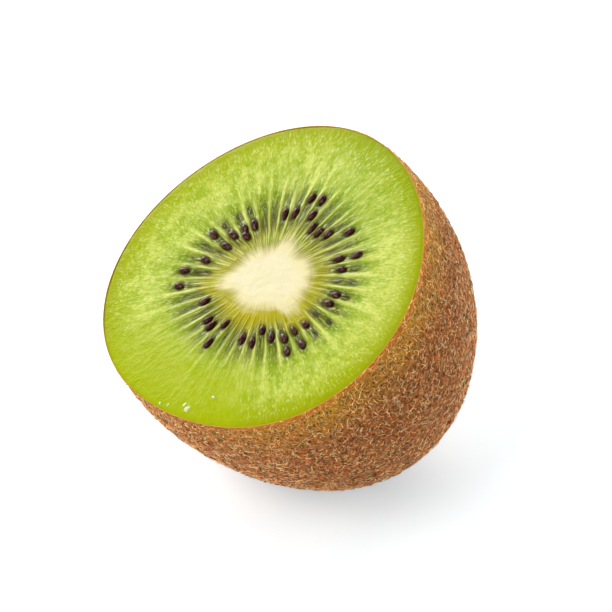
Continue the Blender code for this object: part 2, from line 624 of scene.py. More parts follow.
    def _fringe(self) -> bpy.types.NodeTree:
        """The soft ragged edge of the cream core, and the olive zone round it.

        Returns:
            The group.
        """
        graph, _, sink = self._open("core fringe", {}, {"Cream": FLOAT, "Olive": FLOAT})
        polar = self.place(graph, self.polar)
        fine = self.place(graph, self.streaks, Across=0.7, Along=5.0, Detail=3.0, Shift=2.0)[0]
        broad = self.place(graph, self.streaks, Across=3.6, Along=6.0, Detail=1.0, Shift=9.0)[0]
        ragged = graph.math("MULTIPLY_ADD", fine, -2.4, graph.math("ADD", polar["Past Core Edge"], 1.2))
        ragged = graph.math("MULTIPLY_ADD", broad, -3.0, graph.math("ADD", ragged, 1.5))
        for bearing, width, reach in self.corners:
            aimed = graph.facing(polar["Bearing"], bearing)
            near = graph.step(aimed, math.cos(math.radians(width)), 1.0)
            ragged = graph.math("MULTIPLY_ADD", near, -reach, ragged)
        aimed = graph.facing(polar["Bearing"], self.olive_side)
        strength = graph.math("MULTIPLY_ADD", aimed, 0.44, 0.48)
        return self._close(graph, sink, {
            "Olive": graph.times(graph.step(ragged, 4.2, 0.8), strength),
            "Cream": graph.step(ragged, 0.8, -1.9),
        })

    def _glow(self) -> bpy.types.NodeTree:
        """Where painted light stands for light that passes through the flesh and warms the skin close
        to the cut.

        Returns:
            The group, whose Start and End are heights above the cut in millimetres.
        """
        graph, source, sink = self._open("warm rim", {"Start": -8.0, "End": -0.3}, {"Value": FLOAT})
        polar = self.place(graph, self.polar)
        near = graph.step(polar["Above Cut"], source["Start"], source["End"])
        lit = graph.step(graph.facing(polar["Bearing"], self.lit_side), -0.3, 0.7)
        side = graph.math("MULTIPLY_ADD", lit, 0.8, 0.2)
        return self._close(graph, sink, {"Value": graph.times(near, side)})


@dataclass(frozen=True)
class CutFinish:
    """The colours of the fibres round the core, which the flesh and the core share."""

    effects: Effects
    umber: tuple = linear(92, 66, 20)
    olive: tuple = linear(176, 164, 6)
    cream: tuple = linear(223, 211, 156)
    septum: tuple = linear(204, 212, 102)
    # Pale colour of the fibres, also used for painted sparkle on the flesh.
    pale_fibre_and_sparkle: tuple = linear(222, 230, 150)


@dataclass(frozen=True)
class FleshFinish(CutFinish):
    """Wet, see-through green flesh with locules, pale fibres, green specks, and painted sparkle, glints
    and shade.

    Attributes:
        rings: the ground colour by share of the way from the middle to the rim.
        pale_side: the bearing where the flesh is painted paler, as if lit more brightly.
        green_side: the bearing where the flesh is painted greener and darker, as if lit less.
        smooth_side: the bearing where the flesh is riper in colour, with less painted sparkle and fewer
            green specks.
    """

    dark: tuple = linear(64, 66, 6)
    leaf: tuple = linear(130, 158, 2)
    pale: tuple = linear(214, 220, 116)
    ripe: tuple = linear(162, 176, 2)
    veil: tuple = linear(50, 42, 14)
    glint: tuple = linear(224, 230, 168)
    rings: tuple[tuple[float, tuple], ...] = (
        (0.30, linear(136, 138, 36)), (0.50, linear(144, 154, 40)), (0.66, linear(174, 188, 64)),
        (0.78, linear(176, 189, 52)), (0.90, linear(160, 173, 6)), (1.0, linear(150, 158, 0)),
    )
    pale_side: float = 42.0
    green_side: float = 95.0
    smooth_side: float = 286.0

    def material(self) -> bpy.types.Material:
        """Builds the finish.

        Returns:
            The material.
        """
        graph, place, streaks = Coating("wet_green_flesh"), self.effects.place, self.effects.streaks
        step, lay = graph.step, graph.lay
        polar = place(graph, self.effects.polar)
        past, rim, bearing = polar["Past Core Edge"], polar["Rim Share"], polar["Bearing"]
        across = graph.math("ABSOLUTE", polar["Locule"])
        fine = place(graph, streaks, Across=0.55, Along=3.2, Detail=4.0)[0]
        thin = place(graph, streaks, Across=0.26, Along=2.4, Detail=3.0, Shift=5.0)[0]
        broad = place(graph, streaks, Across=1.9, Along=3.0, Detail=2.0, Shift=7.0)[0]
        flecks = place(graph, streaks, Across=0.22, Along=0.6, Detail=3.0, Shift=3.0)[0]
        stripe = place(graph, streaks, Across=1.0, Along=9.0, Detail=2.0, Shift=11.0)[0]
        cloud = place(graph, self.effects.mottle, Size=1.8, Detail=2.0, Low=0.38, High=0.62)[0]

        cloudy = graph.mix(cloud, self.leaf, self.pale)
        colour = graph.ramp(rim, self.rings)
        colour = lay(colour, cloudy, step(past, 4.0, 8.0), step(rim, 0.97, 0.78), 0.45)
        # Painted light: the face is paler on one side, where it is lit more, and greener and darker on
        # another, where it is lit less.
        side = graph.times(step(graph.facing(bearing, self.pale_side), 0.8, 1.0), step(rim, 0.99, 0.84))
        colour = lay(colour, self.pale, side, step(past, 5.0, 10.0), 0.4)
        side = step(graph.facing(bearing, self.green_side), 0.8, 1.0)
        colour = lay(colour, self.leaf, side, step(past, 6.0, 11.0), 0.34)
        reach = step(past, 17.0, 9.0)
        colour = lay(colour, self.pale, step(stripe, 0.50, 0.66), reach, 0.85)
        colour = lay(colour, self.leaf, step(stripe, 0.48, 0.34), reach, 0.65)
        blotch = graph.times(step(across, 0.46, 0.10), step(broad, 0.38, 0.54))
        colour = lay(colour, self.leaf, blotch, graph.band(past, (4.0, 7.5), (8.5, 14.0)), 0.95)

        inside = graph.band(past, (0.7, 3.9), (6.2, 11.0))
        colour = lay(colour, self.dark, inside, step(across, 0.47, 0.2), step(fine, 0.26, 0.54), 0.95)
        colour = lay(colour, self.umber, step(thin, 0.50, 0.66), step(past, 6.5, 2.5), 0.8)
        wall = graph.times(step(across, 0.41, 0.49), step(fine, 0.35, 0.6))
        colour = lay(colour, self.septum, wall, step(past, 11.0, 5.0), 0.8)
        colour = lay(colour, self.septum, step(fine, 0.56, 0.72), step(past, 15.0, 6.0), 0.4)
        colour = lay(colour, self.pale_fibre_and_sparkle, step(thin, 0.46, 0.30), step(past, 9.0, 3.0), 0.6)

        smooth = step(graph.facing(bearing, self.smooth_side), 0.62, 0.94)
        smooth = graph.times(smooth, step(past, 5.0, 13.0))
        colour = lay(colour, self.ripe, smooth, 0.82)
        uneven = graph.math("MULTIPLY_ADD", smooth, -0.8, 1.0)
        uneven = graph.times(uneven, step(rim, 1.0, 0.9), step(past, 3.0, 9.0))
        # Painted highlights: pale sparkle of the wet surface, less on the smooth side; the green specks
        # after it are the flesh's own.
        colour = lay(colour, self.pale_fibre_and_sparkle, step(flecks, 0.53, 0.68), uneven, 0.5)
        colour = lay(colour, self.leaf, step(flecks, 0.47, 0.32), uneven, 0.55)

        shade, shine = graph.stored("seed_shade"), step(fine, 0.52, 0.66)
        # Painted shade: a dark halo round each open seed.
        colour = lay(colour, self.dark, shade, 0.8)
        # Painted highlights: pale wet glints in a ring round each open seed.
        colour = lay(colour, self.glint, graph.band(shade, (0.04, 0.2), (0.4, 0.75)), shine, 0.6)
        hidden = graph.times(graph.stored("seed_veil"), step(thin, 0.78, 0.40))
        colour = lay(colour, self.veil, hidden, 0.95)
        # Painted highlights on the flesh over the deep seeds.
        colour = lay(colour, self.glint, hidden, shine, 0.55)
        fringe = place(graph, self.effects.fringe)
        colour = graph.mix(fringe["Olive"], colour, self.olive)
        colour = graph.mix(fringe["Cream"], colour, self.cream)

        height = graph.math("ADD", graph.times(fine, 0.6), graph.times(flecks, 0.8))
        height = graph.math("MULTIPLY_ADD", thin, 0.4, height)
        wet = graph.math("MAXIMUM", graph.times(inside, 0.35), shade)
        return graph.finish(
            Base_Color=colour, Normal=graph.bump(height, 0.7, 0.12),
            Roughness=graph.math("MULTIPLY_ADD", flecks, 0.2, 0.08),
            Coat_Weight=graph.math("MULTIPLY_ADD", wet, 0.22, 0.01), Coat_Roughness=0.06,
            IOR=1.38, Specular_IOR_Level=0.09, Subsurface_Weight=0.3,
            Subsurface_Radius=(0.6, 1.0, 0.15), Subsurface_Scale=0.8 * MM,
        )


@dataclass(frozen=True)
class CoreFinish(CutFinish):
    """Firm cream core with faint fibres, and the flesh's fibres where the cream ends."""

    pale: tuple = linear(226, 217, 178)
    waxy: tuple = linear(222, 208, 140)
    green: tuple = linear(136, 138, 36)

    def material(self) -> bpy.types.Material:
        """Builds the finish.

        Returns:
            The material.
        """
        graph, place, streaks = Coating("cream_core"), self.effects.place, self.effects.streaks
        past = place(graph, self.effects.polar)["Past Core Edge"]
        fringe = place(graph, self.effects.fringe)
        fibres = place(graph, streaks, Across=0.9, Along=2.5, Detail=3.0)[0]
        fine = place(graph, streaks, Across=0.55, Along=3.2, Detail=4.0)[0]
        thin = place(graph, streaks, Across=0.26, Along=2.4, Detail=3.0, Shift=5.0)[0]
        mottle = place(graph, self.effects.mottle, Size=1.1, Detail=3.0)[0]
        cream = graph.mix(graph.step(past, -3.5, 0.0), self.pale, self.cream)
        cream = graph.lay(cream, self.waxy, mottle, 0.12)
        around = graph.lay(self.green, self.umber, graph.step(thin, 0.50, 0.66), 0.8)
        around = graph.lay(around, self.septum, graph.step(fine, 0.56, 0.72), 0.4)
        around = graph.lay(around, self.pale_fibre_and_sparkle, graph.step(thin, 0.46, 0.30), 0.6)
        around = graph.mix(fringe["Olive"], around, self.olive)
        return graph.finish(
            Base_Color=graph.mix(fringe["Cream"], around, cream),
            Normal=graph.bump(graph.math("ADD", mottle, fibres), 0.2, 0.08),
            Roughness=graph.math("MULTIPLY_ADD", mottle, 0.15, 0.34),
            IOR=1.38, Specular_IOR_Level=0.28, Subsurface_Weight=0.3,
            Subsurface_Radius=(1.0, 0.8, 0.4), Subsurface_Scale=0.8 * MM,
        )


@dataclass(frozen=True)
class SkinFinish:
    """Thin matt brown skin with dark pores, and a painted glow, golden and warm, close to the cut."""

    effects: Effects
    hollow: tuple = linear(84, 42, 9)
    ridge: tuple = linear(192, 118, 42)
    patch: tuple = linear(150, 90, 40)
    speck: tuple = linear(206, 116, 58)
    golden: tuple = linear(204, 150, 16)
    pore: tuple = linear(56, 24, 8)
    warm: tuple = linear(206, 116, 32)
    edge: tuple = linear(196, 150, 46)

    def material(self) -> bpy.types.Material:
        """Builds the finish.

        Returns:
            The material.
        """
        graph, place, mottle = Coating("brown_skin"), self.effects.place, self.effects.mottle
        broad = place(graph, mottle, Size=5.0, Detail=2.0)[0]
        fine = place(graph, mottle, Size=0.45, Detail=4.0)[0]
        specks = place(graph, mottle, Size=0.30, Detail=2.0, Low=0.54, High=0.66)[0]
        pores = place(graph, mottle, Size=0.36, Detail=1.0, Low=0.44, High=0.36)[0]
        glow = place(graph, self.effects.glow)[0]
        rim = place(graph, self.effects.glow, Start=-1.15, End=-0.45)[0]
        above = place(graph, self.effects.polar)["Above Cut"]
        colour = graph.mix(fine, self.hollow, self.ridge)
        colour = graph.lay(colour, self.patch, broad, 0.4)
        colour = graph.lay(colour, self.speck, specks, 0.6)
        # Painted light: a golden glow of light through the flesh, near the cut.
        colour = graph.lay(colour, self.golden, glow, graph.math("MULTIPLY_ADD", broad, 0.5, 0.35))
        colour = graph.lay(colour, self.pore, pores, 0.9)
        # Painted light: a warm band of the same glow right at the cut.
        colour = graph.lay(colour, self.warm, rim, 0.8)
        colour = graph.lay(colour, self.edge, graph.step(above, -0.12, -0.02))
        return graph.finish(
            Base_Color=colour, Normal=graph.bump(fine, 0.6, 0.12),
            Roughness=graph.math("MULTIPLY_ADD", fine, 0.2, 0.6), Specular_IOR_Level=0.2,
        )


@dataclass(frozen=True)
class HairFinish:
    """One tone of the skin's hairs, paler towards the tips."""

    effects: Effects
    root: tuple
    tip: tuple
    lit: tuple = linear(255, 214, 120)

    def material(self, name: str) -> bpy.types.Material:
        """Builds the finish.

        Args:
            name: the material's name.

        Returns:
            The material.
        """
        graph = Coating(name)
        colour = graph.mix(graph.stored("hair_along"), self.root, self.tip)
        # Painted light: hair near the cut made paler by the glow of light through the flesh.
        colour = graph.lay(colour, self.lit, self.effects.place(graph, self.effects.glow)[0], 0.4)
        dim = graph.math("MULTIPLY_ADD", graph.stored("hair_tone"), 0.8, 0.76)
        shade = graph.node("CombineColor", {0: dim, 1: dim, 2: dim}).outputs[0]
        colour = graph.mix(1.0, colour, shade, blend="MULTIPLY")
        return graph.finish(Base_Color=colour, Roughness=0.5, Specular_IOR_Level=0.1)


@dataclass(frozen=True)
class SeedFinish:
    """Hard glossy seed coat, near black with a reddish brown cast, and pale patches that are partly a
    wet membrane, partly painted highlights.
    """

    effects: Effects
    black: tuple = linear(22, 4, 3)
    brown: tuple = linear(78, 20, 13)
    film_and_highlight: tuple = linear(140, 100, 106)

    def material(self) -> bpy.types.Material:
        """Builds the finish.

        Returns:
            The material.
        """
        graph, place, mottle = Coating("glossy_seed"), self.effects.place, self.effects.mottle
        broad = place(graph, mottle, Size=0.35, Detail=3.0)[0]
        pores = place(graph, mottle, Size=0.12, Detail=2.0)[0]
        # Pale patches at random: partly a wet membrane, partly painted highlights.
        film_and_highlight = place(graph, mottle, Size=0.6, Detail=1.0, Low=0.58, High=0.68)[0]
        return graph.finish(
            Base_Color=graph.lay(graph.mix(broad, self.black, self.brown), self.film_and_highlight, film_and_highlight, 0.5),
            Normal=graph.bump(pores, 0.4, 0.03),
            Roughness=graph.math("MULTIPLY_ADD", broad, 0.12, 0.16),
            Specular_IOR_Level=0.15, Specular_Tint=(1.0, 0.62, 0.60, 1.0),
            Coat_Weight=0.18, Coat_Roughness=0.05,
        )


@dataclass(frozen=True)
class JuiceFinish:
    """Drops of juice, partly see-through, their near-white colour a painted highlight."""

    effects: Effects
    deep: tuple = linear(228, 234, 140)
    pale_highlight: tuple = linear(250, 252, 214)

    def material(self) -> bpy.types.Material:
        """Builds the finish.

        Returns:
            The material.
        """
        graph = Coating("clear_juice")
        mottle = self.effects.place(graph, self.effects.mottle, Size=0.5, Detail=2.0)[0]
        return graph.finish(
            # Painted highlight: the drops are coloured near white.
            Base_Color=graph.mix(mottle, self.deep, self.pale_highlight),
            Roughness=graph.math("MULTIPLY_ADD", mottle, 0.05, 0.03), IOR=1.34,
            Transmission_Weight=0.35, Coat_Weight=0.5,
        )


def lumpy(points: np.ndarray, lumps: Lumps) -> np.ndarray:
    """Seeded lumps of several sizes.

    Args:
        points: an array whose last axis is x, y, z, in metres.
        lumps: the draw, the height and the width of each kind of lump, in millimetres.

    Returns:
        The height at each point, in millimetres.
    """
    return sum(height * LatticeNoise(draw).at(points / MM / width) for draw, height, width in lumps)


@dataclass
class Sheet:
    """A surface of rows of points that close round, with its faces, as one mesh in the making."""

    points: list[np.ndarray] = field(default_factory=list)
    faces: list[np.ndarray] = field(default_factory=list)
    count: int = 0

    def add_points(self, points: np.ndarray) -> np.ndarray:
        """Adds points.

        Args:
            points: an array whose last axis is x, y, z.

        Returns:
            Their numbers, in the array's shape.
        """
        flat = points.reshape(-1, 3)
        numbers = self.count + np.arange(len(flat)).reshape(points.shape[:-1])
        self.points.append(flat)
        self.count += len(flat)
        return numbers

    def add_rows(self, rows: np.ndarray) -> None:
        """Joins rows of point numbers that close round, each row to the next, by four-sided faces.

        Args:
            rows: point numbers, one row after another, for one body or for many.
        """
        here, after = rows[..., :-1, :], rows[..., 1:, :]
        quads = [here, np.roll(here, -1, -1), np.roll(after, -1, -1), after]
        self.faces.append(np.stack(quads, -1).reshape(-1, 4))

    def add_cap(self, row: np.ndarray, tip: np.ndarray) -> None:
        """Closes a row of points on one more point.

        Args:
            row: point numbers round the opening, for one body or for many.
            tip: the point that closes it, one a body.
        """
        middle = np.broadcast_to(np.expand_dims(self.add_points(tip), -1), row.shape)
        self.faces.append(np.stack([row, np.roll(row, -1, -1), middle, middle], -1).reshape(-1, 4))

    def mesh(self, name: str, crease: float = 180.0) -> bpy.types.Mesh:
        """Makes the Blender mesh, with faces that repeat a corner made three-sided.

        Args:
            name: the mesh's name.
            crease: the angle in degrees from which an edge is kept sharp.

        Returns:
            The mesh.
        """
        points, faces = np.concatenate(self.points), np.concatenate(self.faces)
        sides = np.where(faces[:, 2] == faces[:, 3], 3, 4)
        corners = faces[np.arange(4)[None] < sides[:, None]]
        made = bpy.data.meshes.new(name)
        made.vertices.add(len(points))
        made.vertices.foreach_set("co", points.astype(np.float32).ravel())
        made.loops.add(len(corners))
        made.loops.foreach_set("vertex_index", corners.astype(np.int32))
        made.polygons.add(len(faces))
        starts = np.concatenate([[0], np.cumsum(sides)[:-1]])
        made.polygons.foreach_set("loop_start", starts.astype(np.int32))
        made.update(calc_edges=True)
        made.validate()
        made.shade_smooth()
        if crease < 180:
            made.set_sharp_from_angle(angle=math.radians(crease))
        return made


def lay_piece(
    name: str, mesh: bpy.types.Mesh, material: bpy.types.Material, node: str = ""
) -> bpy.types.Object:
    """Puts a finished mesh in the scene as a piece of the fruit.

    Args:
        name: the piece's name.
        mesh: its mesh, in the row's frame.
        material: its finish.
        node: the solid that it stands for, if any.

    Returns:
        The piece.
    """
    mesh.materials.append(material)
    piece = bpy.data.objects.new(name, mesh)
    bpy.context.scene.collection.objects.link(piece)
    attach(piece, BODY)
    if node:
        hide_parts(node)
    LOG.info("%s: %d faces", name, len(mesh.polygons))
    return piece


def set_values(mesh: bpy.types.Mesh, name: str, values: np.ndarray) -> None:
    """Stores one number a point on a mesh."""
    stored = mesh.attributes.new(name, "FLOAT", "POINT").data
    stored.foreach_set("value", values.astype(np.float32).ravel())


@dataclass
class CutFlesh:
    """The green flesh, with the cut face's relief: locules, fibres, seed pits and a soft rim.

    The relief's heights and depths are in millimetres.
    """

    fruit: Fruit
    seeds: list[Seed]
    seed_size: tuple[float, float, float]
    skin: float = 0.00013
    columns: int = 560
    rows: int = 116
    side_rows: int = 14
    wall_rows: int = 5
    draws: tuple[int, int, int] = (11, 12, 13)
    septum_height: float = 0.15
    septum_width: float = 0.11
    locule_depth: float = 0.10
    fibre_height: float = 0.05
    grain_height: float = 0.03
    swell_height: float = 0.06
    swell_width: float = 6.0
    rim_depth: float = 0.10
    pit_depth: float = 0.20
    lip_height: float = 0.07
    deep_height: float = 0.05

    def relief(
        self, bearing: np.ndarray, past: np.ndarray, rim: np.ndarray, spot: np.ndarray
    ) -> np.ndarray:
        """How far the cut face stands above its plane.

        Args:
            bearing: bearings round the core's middle.
            past: distance beyond the core's edge, in millimetres.
            rim: distance from the skin, in millimetres.
            spot: the points, in millimetres.

        Returns:
            Heights in metres.
        """
        phase = np.mod(bearing * self.fruit.locules / math.tau, 1) - 0.5
        zone = smooth_step(0.6, 2.0, past) * (1 - smooth_step(7.0, 11.0, past))
        septum = np.exp(-(((np.abs(phase) - 0.5) / self.septum_width) ** 2))
        height = zone * (self.septum_height * septum - self.locule_depth)
        around = np.stack([np.cos(bearing), np.sin(bearing)], -1)
        fibre, grain, swell = (LatticeNoise(draw) for draw in self.draws)
        fibre = fibre.at(np.concatenate([around * 40, past[..., None] * 0.35], -1))
        fading = smooth_step(-0.5, 1.5, past) * (1 - 0.6 * smooth_step(6, 13, past))
        height += self.fibre_height * fibre * fading
        grain = grain.at(np.concatenate([around * 44, past[..., None] * 1.1], -1))
        height += self.grain_height * grain * smooth_step(4, 9, past)
        height += self.swell_height * swell.at(spot / self.swell_width)
        height -= self.rim_depth * np.exp(-rim / 0.3)
        return height * MM * smooth_step(-0.2, 0.4, past)

    def seed_marks(self, x: np.ndarray, y: np.ndarray) -> tuple[np.ndarray, np.ndarray, np.ndarray]:
        """What the seeds do to the flesh round them.

        Args:
            x: distances of the points from the core's middle along X.
            y: the same along Y.

        Returns:
            Heights in metres, the painted shade round open seeds and the veil over deep ones.
        """
        height, shade, veil = np.zeros_like(x), np.zeros_like(x), np.zeros_like(x)
        for seed in self.seeds:
            turned = seed.bearing + seed.turn
            dx = x - seed.distance * math.cos(seed.bearing)
            dy = y - seed.distance * math.sin(seed.bearing)
            along = (dx * math.cos(turned) + dy * math.sin(turned)) / (seed.length / 2)
            across = (dy * math.cos(turned) - dx * math.sin(turned)) / (self.seed_size[1] / 2)
            reach = np.hypot(along, across)
            if seed.deep:
                veil = np.maximum(veil, np.exp(-((reach / 0.9) ** 7)))
                height += self.deep_height * MM * np.exp(-(reach**2))
            else:
                height -= self.pit_depth * MM * np.exp(-((reach / 1.1) ** 4))
                height += self.lip_height * MM * np.exp(-(((reach - 1.45) / 0.22) ** 2))
                # Mask of the painted shade round the seed.
                shade = np.maximum(shade, np.exp(-((reach / 1.35) ** 3)))
        return height, shade, veil

    def make(self, material: bpy.types.Material) -> bpy.types.Object:
        """Builds the piece.

        Args:
            material: the flesh's finish.

        Returns:
            The piece.
        """
        fruit = self.fruit
        bearing = all_round(self.columns)[None]
        share = np.linspace(0, 1, self.rows)[:, None]
        inner, outer = fruit.core_at(bearing), fruit.rim_from_core(bearing, self.skin)
        reach = inner + (outer - inner) * share
        x, y = reach * np.cos(bearing), reach * np.sin(bearing)
        centre = np.array([*fruit.core_centre, 0])
        spot = np.stack([x, y, np.zeros_like(x)], -1) + centre
        bearings = np.broadcast_to(bearing, reach.shape)
        height = self.relief(bearings, (reach - inner) / MM, (outer - reach) / MM, spot / MM)
        pits, shade, veil = self.seed_marks(x, y)
        spot[..., 2] = height + pits * (share < 1)

        side = self._side(spot[-1])
        wall = self._wall(spot[0], bearing[0])
        sheet = Sheet()
        top = sheet.add_points(fruit.to_row(spot))
        below = sheet.add_points(fruit.to_row(side))
        hollow = sheet.add_points(fruit.to_row(wall))
        sheet.add_rows(np.concatenate([hollow[::-1], top, below]))
        sheet.add_cap(below[-1], fruit.to_row(np.array([*fruit.end_lean, -fruit.half_length + 2 * MM])))
        sheet.add_cap(hollow[-1][::-1], fruit.to_row(wall[-1].mean(0) - np.array([0, 0, 0.4 * MM])))
        mesh = sheet.mesh("flesh_cut", crease=58)
        rest = sheet.count - shade.size
        set_values(mesh, "seed_shade", np.concatenate([shade.ravel(), np.zeros(rest)]))
        set_values(mesh, "seed_veil", np.concatenate([veil.ravel(), np.zeros(rest)]))
        return lay_piece("flesh_cut", mesh, material, "flesh")

    def _side(self, edge: np.ndarray) -> np.ndarray:
        """The flesh's outside, under the skin.

        Args:
            edge: the cut face's outermost points.

        Returns:
            Rows of points, from the cut down.
        """
        depth = np.sin(np.linspace(0.03, 0.97, self.side_rows) * math.pi / 2)[:, None]
        bearing = np.arctan2(edge[:, 1], edge[:, 0])[None]
        points = self.fruit.outside(bearing, depth)
        middle = np.array([0, 0, -0.3 * self.fruit.half_length])
        return points - unit(points - middle) * (self.skin + 0.25 * MM)

    def _wall(self, edge: np.ndarray, bearing: np.ndarray) -> np.ndarray:
        """The wall of the hollow that the core fills.

        Args:
            edge: the cut face's innermost points.
            bearing: their bearings round the core's middle.

        Returns:
            Rows of points, from the cut down.
        """
        return core_column(self.fruit, bearing, np.linspace(0.04, 0.94, self.wall_rows), edge[..., 2])


def core_column(fruit: Fruit, bearing: np.ndarray, depths: np.ndarray, top: np.ndarray) -> np.ndarray:
    """Rows of points round the core, which narrows downwards and leans with the fruit.

    Args:
        fruit: the fruit.
        bearing: bearings round the core's middle.
        depths: shares of the core's depth, one a row.
        top: how high the core's edge stands at the cut.

    Returns:
        One row of points a depth.
    """
    depth = depths[:, None]
    across = fruit.core_at(bearing)[None] * (1 - depth**fruit.core_power) ** (1 / fruit.core_power)
    reach = depth * fruit.core_depth / fruit.half_length
    centre = [fruit.core_centre[i] + (fruit.end_lean[i] - fruit.core_centre[i]) * reach for i in (0, 1)]
    return np.stack([
        centre[0] + across * np.cos(bearing),
        centre[1] + across * np.sin(bearing),
        top[None] * (1 - depth) - depth * fruit.core_depth,
    ], -1)


@dataclass
class CoreColumn:
    """The cream core, faintly uneven where the knife passed."""

    fruit: Fruit
    columns: int = 240
    rows: int = 34
    side_rows: int = 16
    lumps: Lumps = ((21, 0.05, 2.2), (22, 0.02, 0.6))

    def make(self, material: bpy.types.Material) -> bpy.types.Object:
        """Builds the piece.

        Args:
            material: the core's finish.

        Returns:
            The piece.
        """
        fruit = self.fruit
        bearing = all_round(self.columns)
        share = np.linspace(0.02, 1, self.rows)[:, None]
        reach = fruit.core_at(bearing)[None] * share
        x = fruit.core_centre[0] + reach * np.cos(bearing)
        y = fruit.core_centre[1] + reach * np.sin(bearing)
        spot = np.stack([x, y, np.zeros_like(x)], -1)
        spot[..., 2] = lumpy(spot, self.lumps) * MM * (1 - share**6)
        sides = core_column(fruit, bearing, np.linspace(0.02, 0.96, self.side_rows), spot[-1, :, 2])
        sheet = Sheet()
        top = sheet.add_points(fruit.to_row(spot))
        below = sheet.add_points(fruit.to_row(sides))
        sheet.add_rows(np.concatenate([top, below]))
        sheet.add_cap(top[0][::-1], fruit.to_row(spot[0].mean(0)))
        sheet.add_cap(below[-1], fruit.to_row(sides[-1].mean(0) - np.array([0, 0, 0.6 * MM])))
        mesh = sheet.mesh("core_column", crease=58)
        return lay_piece("core_column", mesh, material, "core")


@dataclass
class SeedRing:
    """The seeds, teardrops with their points towards the core."""

    fruit: Fruit
    seeds: list[Seed]
    size: tuple[float, float, float]
    columns: int = 20
    rows: int = 14
    slimness: float = 0.94
    draw: int = 51
    lift: float = 0.00010
    deep_drop: float = 0.00055

    def make(self, material: bpy.types.Material) -> bpy.types.Object:
        """Builds the piece.

        Args:
            material: the seeds' finish.

        Returns:
            The piece.
        """
        angle = np.linspace(0, math.pi, self.rows + 2)[1:-1, None]
        around = all_round(self.columns)[None]
        along = -np.cos(angle) * np.ones_like(around)
        girth = 1.02 * np.sin(angle) * ((1 + along) / 2) ** 0.3
        sheet = Sheet()
        draw = random.Random(self.draw)
        for seed in self.seeds:
            width = self.size[1] * draw.uniform(0.8, 1.04)
            bend = 0.12 * draw.uniform(-1, 1) * along**2
            body = np.stack([
                along * seed.length * self.slimness / 2,
                (girth * np.cos(around) + bend) * width / 2,
                girth * np.sin(around) * self.size[2] / 2,
            ], -1)
            ends = np.array([[-0.5, 0, 0], [0.5, 0, 0]]) * seed.length * self.slimness
            rows = sheet.add_points(self._placed(body, seed))
            sheet.add_rows(rows)
            tips = self._placed(ends, seed)
            sheet.add_cap(rows[0][::-1], tips[0])
            sheet.add_cap(rows[-1], tips[1])
        return lay_piece("seed_ring", sheet.mesh("seed_ring"), material)

    def _placed(self, points: np.ndarray, seed: Seed) -> np.ndarray:
        """Points of a seed's own frame, laid in its locule.

        Args:
            points: the points, with the seed's middle at the origin.
            seed: the seed.

        Returns:
            The points in the row's frame.
        """
        turned = seed.bearing + seed.turn
        c, s = math.cos(turned), math.sin(turned)
        x = self.fruit.core_centre[0] + seed.distance * math.cos(seed.bearing)
        y = self.fruit.core_centre[1] + seed.distance * math.sin(seed.bearing)
        z = self.lift - seed.sink - (self.deep_drop if seed.deep else 0)
        moved = points @ np.array([[c, s, 0], [-s, c, 0], [0, 0, 1]]) + np.array([x, y, z])
        return self.fruit.to_row(moved)


@dataclass
class SkinCup:
    """The thin skin, faintly lumpy, flat where the half rests."""

    fruit: Fruit
    thickness: float = 0.00012
    columns: int = 380
    rows: int = 110
    inner_rows: int = 14
    nub_radius: float = 0.0026
    nub_height: float = 0.0007
    lumps: Lumps = ((31, 0.10, 5.0), (32, 0.05, 1.1), (33, 0.03, 0.45))
    lumps_drop: float = 0.06

    def surface(self, bearing: np.ndarray, depth: np.ndarray) -> np.ndarray:
        """Points on the skin, with its lumps and the blossom end's nub.

        Args:
            bearing: bearings in radians.
            depth: shares of the way to the blossom end.

        Returns:
            Points in the fruit's frame.
        """
        fruit = self.fruit
        points = fruit.outside(bearing, depth)
        lumps = lumpy(points, self.lumps)[..., None] - self.lumps_drop
        out = unit(points - np.array([0, 0, -0.3 * fruit.half_length]))
        fade = smooth_step(0, 0.03, depth)[..., None]
        points = points + out * lumps * MM * fade
        from_end = np.hypot(points[..., 0] - fruit.end_lean[0], points[..., 1] - fruit.end_lean[1])
        near = (depth > 0.8) * np.exp(-((from_end / self.nub_radius) ** 4))
        points[..., 2] -= self.nub_height * near
        return points

    def make(self, material: bpy.types.Material) -> bpy.types.Object:
        """Builds the piece.

        Args:
            material: the skin's finish.

        Returns:
            The piece.
        """
        fruit = self.fruit
        bearing = all_round(self.columns)[None]
        depth = np.sin(np.linspace(0, 0.995, self.rows) * math.pi / 2)[:, None]
        grid = np.broadcast_arrays(bearing, depth)
        outer = self.surface(*grid)
        inner_depth = np.sin(np.linspace(0, 0.97, self.inner_rows) * math.pi / 2)[:, None]
        inner = fruit.outside(*np.broadcast_arrays(bearing, inner_depth))
        away = inner - np.array([0, 0, -0.3 * fruit.half_length])
        away[0, :, 2] = 0
        inner = inner - unit(away) * self.thickness
        sheet = Sheet()
        inside = sheet.add_points(fruit.to_row(inner))
        outside = sheet.add_points(fruit.to_row(outer))
        sheet.add_rows(np.concatenate([inside[::-1], outside]))
        end = np.array([*fruit.end_lean, -fruit.half_length])
        sheet.add_cap(outside[-1], fruit.to_row(end - np.array([0, 0, self.nub_height])))
        sheet.add_cap(inside[-1][::-1], fruit.to_row(end + np.array([0, 0, self.thickness])))
        return lay_piece("skin_cup", sheet.mesh("skin_cup", crease=58), material, "skin")


@dataclass(frozen=True)
class HairTone:
    """One tone of hair: its finish's colours and its share of all the hairs."""

    name: str
    root: tuple
    tip: tuple
    share: float


